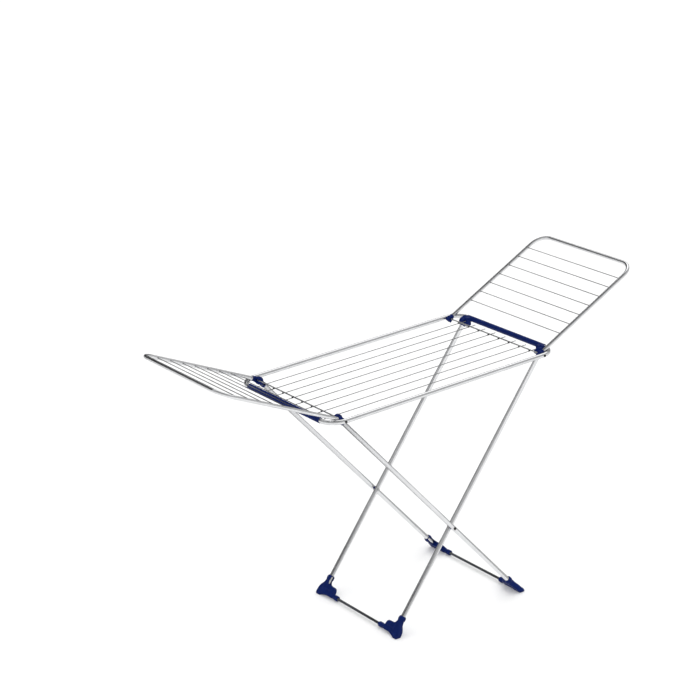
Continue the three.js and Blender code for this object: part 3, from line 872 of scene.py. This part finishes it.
def hinge_sleeve():
    """The moulded bar on the right end tube, with a socket at each end for a leg tube."""
    origin = HINGE_A.astype(float)
    down = leg_a.down
    # The point of the leg's axis nearest to the hinge.
    offset = leg_a.top - origin
    offset[1] = 0
    start = (offset - down * (offset @ down)) / MM
    y = leg_a.half_width / MM
    mouth = unit((1, 0, -1))
    mouth_axes = [mouth, Y_AXIS, np.cross(mouth, Y_AXIS)]
    bore = RING_R / MM + SLEEVE_CLEARANCE

    def distance(p):
        q = np.stack([p[:, 0], np.abs(p[:, 1]), p[:, 2]], 1)
        made = rod_distance(q, (0, -20, 0), (0, SLEEVE_HALF, 0), SLEEVE_R, rounding=1.0)
        root = start + np.array([0, y, 0])
        socket = rod_distance(q, root, root + SOCKET_LENGTH * down, SOCKET_R, rounding=2.4)
        middle = root + BOSS_DISTANCE * down
        boss = rod_distance(q, middle - 12 * Y_AXIS, middle + 12 * Y_AXIS, BOSS_R, rounding=3.0)
        nose_end = root + NOSE_DISTANCE * down
        nose = rod_distance(q, nose_end - NOSE_REACH * Y_AXIS, nose_end, NOSE_R, rounding=2.0)
        dish = rod_distance(q, middle + 11.4 * Y_AXIS, middle + 14 * Y_AXIS, 11.5, rounding=0.3)
        dished = cut_out(boss, dish, fillet=0.8)
        made = blend_in(made, blend_in(socket, dished, fillet=2.0), fillet=4.0)
        shoulder = block_distance(q, (-13, y - 12, -8), (9.5, 12, 16), rounding=4.0)
        neck = rod_distance(q, (-8, y - 12, -4), (-8, y + 12, -4), 14.0, rounding=3.0)
        made = blend_in(made, blend_in(nose, shoulder, fillet=3.0), fillet=2.0)
        made = blend_in(made, neck, fillet=2.0)
        end_bore = rod_distance(q, (0, -40, 0), (0, 250, 0), bore, rounding=0.1)
        made = cut_out(made, end_bore, fillet=0.5)
        wide_end = rod_distance(q, (0, 215, 0), (0, 250, 0), bore + SLEEVE_FLARE, rounding=0.8)
        made = cut_out(made, wide_end, fillet=0.5)
        # The mouth that snaps on the end tube stops short of the sockets.
        slot = block_distance(q, 10 * mouth, (10.5, y - 25, 6.2), mouth_axes, rounding=0.5)
        made = cut_out(made, slot, fillet=0.6)
        tube_top = root + SLEEVE_TUBE_START * down
        tube_bore_r = leg_a.radius / MM + TUBE_CLEARANCE
        tube_bore = rod_distance(q, tube_top, root + 60 * down, tube_bore_r, rounding=0.1)
        return cut_out(made, tube_bore, fillet=0.6)

    place = placed((1, 0, 0), (0, 1, 0), (0, 0, 1), origin)
    moulding("hinge_sleeve", "leg_pair_a", "leg_a_hinge_sleeve", distance,
             (-45, -234, -52), (18, 234, 15), (0.95, 1.3, 0.95), place)


HOOK_R = 14.0
HOOK_HALF = 7.5
HOOK_NECK_R = 9.2
HOOK_COLLAR_R = 10.2
HOOK_NECK_END = 30
HOOK_PLUG_END = 56
HOOK_PLUG_INSET = 1.3  # the leg tube's wall and the fit
HOOK_BORE_R = 2.95


def hooks():
    """The hook on top of each leg B tube: its open mouth drops on the left axle rod."""
    origin = np.array([-AXLE_X, -leg_b.half_width, TABLE_Z])
    down = leg_b.down

    def distance(p):
        head = rod_distance(p, (0, -HOOK_HALF, 0), (0, HOOK_HALF, 0), HOOK_R, rounding=2.4)
        neck = rod_distance(p, 4 * down, HOOK_NECK_END * down, HOOK_NECK_R, rounding=1.2)
        collar = rod_distance(p, 25 * down, HOOK_NECK_END * down, HOOK_COLLAR_R, rounding=1.2)
        plug_r = leg_b.radius / MM - HOOK_PLUG_INSET
        plug = rod_distance(p, 28 * down, HOOK_PLUG_END * down, plug_r, rounding=1.0)
        made = blend_in(blend_in(head, neck, fillet=5.0), collar, fillet=1.0)
        made = np.minimum(made, plug)
        bore = rod_distance(p, (0, -12, 0), (0, 12, 0), HOOK_BORE_R, rounding=0.1)
        made = cut_out(made, bore, fillet=0.6)
        # The mouth opens outward as a wedge.
        wedge = np.abs(p[:, 2]) - HOOK_BORE_R - np.maximum(-p[:, 0] - 2.0, 0) * 0.8
        mouth = np.maximum(wedge, p[:, 0])
        return cut_out(made, mouth, fillet=0.8)

    place = placed((1, 0, 0), (0, 1, 0), (0, 0, 1), origin)
    for end, mirror in ENDS:
        moulding("hook_" + end, "leg_pair_b", "leg_b_hook_" + end, distance,
                 (-16, -12, -62), (50, 12, 16), (0.85, 0.85, 0.85), place, mirror)


PIN_R = 3.0
PIN_HEAD = 2.5
PIN_SIDES = 24
WASHER_HOLE_R = 3.4


def cross_pins():
    for end, sy in (("front", -1), ("back", 1)):
        low, high = box_of("cross_pin_" + end)
        outer, inner = (low[1], high[1]) if sy < 0 else (high[1], low[1])
        radius = (high[0] - low[0]) / 2 / MM
        length = abs(inner - outer) / MM
        dome = [(0.0, 0.9), (0.12, 2.2), (0.5, 3.7), (1.1, radius - 0.6)]
        dome += [(1.8, radius), (PIN_HEAD, radius)]
        start = np.array([CROSSING[0], outer, CROSSING[2]])
        shape = headed_rod(start, (0, -sy, 0), length, dome, PIN_R, PIN_SIDES)
        shape.finish("pin_" + end, "leg_pair_a", "cross_pin_" + end, "rod", rod_steel, sharp=40)
        low, high = box_of("cross_washer_" + end)
        radius = (high[0] - low[0]) / 2 / MM
        half = (high[1] - low[1]) / 2 / MM

        def distance(p, radius=radius, half=half):
            edge = min(0.35, half * 0.5)
            disc = rod_distance(p, (0, -half, 0), (0, half, 0), radius, rounding=edge)
            hole = rod_distance(p, (0, -9, 0), (0, 9, 0), WASHER_HOLE_R, rounding=0.1)
            return cut_out(disc, hole, fillet=0.3)

        place = placed((1, 0, 0), (0, 1, 0), (0, 0, 1), (low + high) / 2)
        reach = radius + 1.0
        moulding("washer_" + end, "leg_pair_a", "cross_washer_" + end, distance,
                 (-reach, -half - 0.8, -reach), (reach, half + 0.8, reach), (0.45, 0.25, 0.45), place)


for leg in (leg_a, leg_b):
    leg_tubes(leg)
    feet(leg)
hinge_sleeve()
hooks()
cross_pins()

# ---- Floor, lights and surroundings ----

FLOOR_HALF = 40.0
# Each sun's direction, its strength, and its width in degrees.
KEY_SUN = ((-0.35, -0.40, 1.0), 1.30, 120)
FILL_SUN = ((0.45, 0.10, 1.2), 1.00, 140)
# The room darkens as a direction's Y part (the back) or Z part (the ceiling) goes from start to end.
ROOM_EDGES = (("Y", 0.62, 0.70), ("Z", 0.82, 0.90))
ROOM_DARK = (0.13, 0.13, 0.133, 1)
ROOM_STRENGTH = 0.52
# The soft light's direction and brightness, and its edge, as cosines of the angle to that direction.
LIGHT_TOWARD = (0.53, 0.40, 0.75)
LIGHT_GLOW = 3.0
LIGHT_EDGE = (0.84, 0.92)


def add_floor():
    mesh = bpy.data.meshes.new("floor")
    f = FLOOR_HALF
    mesh.from_pydata([(-f, -f, 0), (f, -f, 0), (f, f, 0), (-f, f, 0)], [], [(0, 1, 2, 3)])
    material, nodes, links, shader = node_material("pale_floor")
    place = nodes.new("ShaderNodeTexCoord").outputs["Object"]
    clouds = noise_of(nodes, links, place, 1.5)
    colour = mixed_colour(nodes, links, clouds, (0.90, 0.90, 0.90), (0.92, 0.92, 0.92))
    links.new(colour, shader.inputs["Base Color"])
    shader.inputs["Roughness"].default_value = 0.9
    shader.inputs["Specular IOR Level"].default_value = 0.1
    mesh.materials.append(material)
    floor = bpy.data.objects.new("floor", mesh)
    bpy.context.scene.collection.objects.link(floor)


def add_sun(name, direction, strength, angle):
    """A wide sun that casts no shadow and isn't seen in the metal."""
    data = bpy.data.lights.new(name, "SUN")
    data.energy = strength
    data.angle = math.radians(angle)
    sun = bpy.data.objects.new(name, data)
    bpy.context.scene.collection.objects.link(sun)
    toward = unit(direction)
    sideways, upward = frame_along(toward)
    matrix = Matrix.Identity(4)
    for row in range(3):
        matrix[row][0], matrix[row][1], matrix[row][2] = sideways[row], upward[row], toward[row]
    sun.matrix_world = matrix
    sun.visible_glossy = False
    data.use_shadow = False


def add_world():
    """A grey room, darker at the back and the ceiling, with a large soft light above the right back."""
    world = bpy.data.worlds.new("studio")
    bpy.context.scene.world = world
    world.use_nodes = True
    nodes, links = world.node_tree.nodes, world.node_tree.links
    place = nodes.new("ShaderNodeTexCoord")
    split = nodes.new("ShaderNodeSeparateXYZ")
    links.new(place.outputs["Generated"], split.inputs[0])
    shades = []
    for axis, start, end in ROOM_EDGES:
        ramp = nodes.new("ShaderNodeValToRGB")
        stops = ramp.color_ramp.elements
        stops[0].position, stops[0].color = start, (1, 1, 1, 1)
        stops[1].position, stops[1].color = end, ROOM_DARK
        links.new(split.outputs[axis], ramp.inputs["Fac"])
        shades.append(ramp.outputs["Color"])
    both = nodes.new("ShaderNodeMixRGB")
    both.blend_type = "DARKEN"
    both.inputs["Fac"].default_value = 1.0
    links.new(shades[0], both.inputs["Color1"])
    links.new(shades[1], both.inputs["Color2"])
    toward = nodes.new("ShaderNodeVectorMath")
    toward.operation = "DOT_PRODUCT"
    toward.inputs[1].default_value = unit(LIGHT_TOWARD)
    links.new(place.outputs["Generated"], toward.inputs[0])
    glow = nodes.new("ShaderNodeValToRGB")
    stops = glow.color_ramp.elements
    stops[0].position, stops[0].color = LIGHT_EDGE[0], (0, 0, 0, 1)
    stops[1].position, stops[1].color = LIGHT_EDGE[1], (LIGHT_GLOW, LIGHT_GLOW, LIGHT_GLOW, 1)
    links.new(toward.outputs["Value"], glow.inputs["Fac"])
    room = nodes.new("ShaderNodeMixRGB")
    room.blend_type = "LIGHTEN"
    room.inputs["Fac"].default_value = 1.0
    links.new(both.outputs["Color"], room.inputs["Color1"])
    links.new(glow.outputs["Color"], room.inputs["Color2"])
    links.new(room.outputs["Color"], nodes["Background"].inputs["Color"])
    nodes["Background"].inputs["Strength"].default_value = ROOM_STRENGTH


add_floor()
add_world()
add_sun("key", *KEY_SUN)
add_sun("fill", *FILL_SUN)
bpy.context.scene.view_settings.view_transform = "Standard"
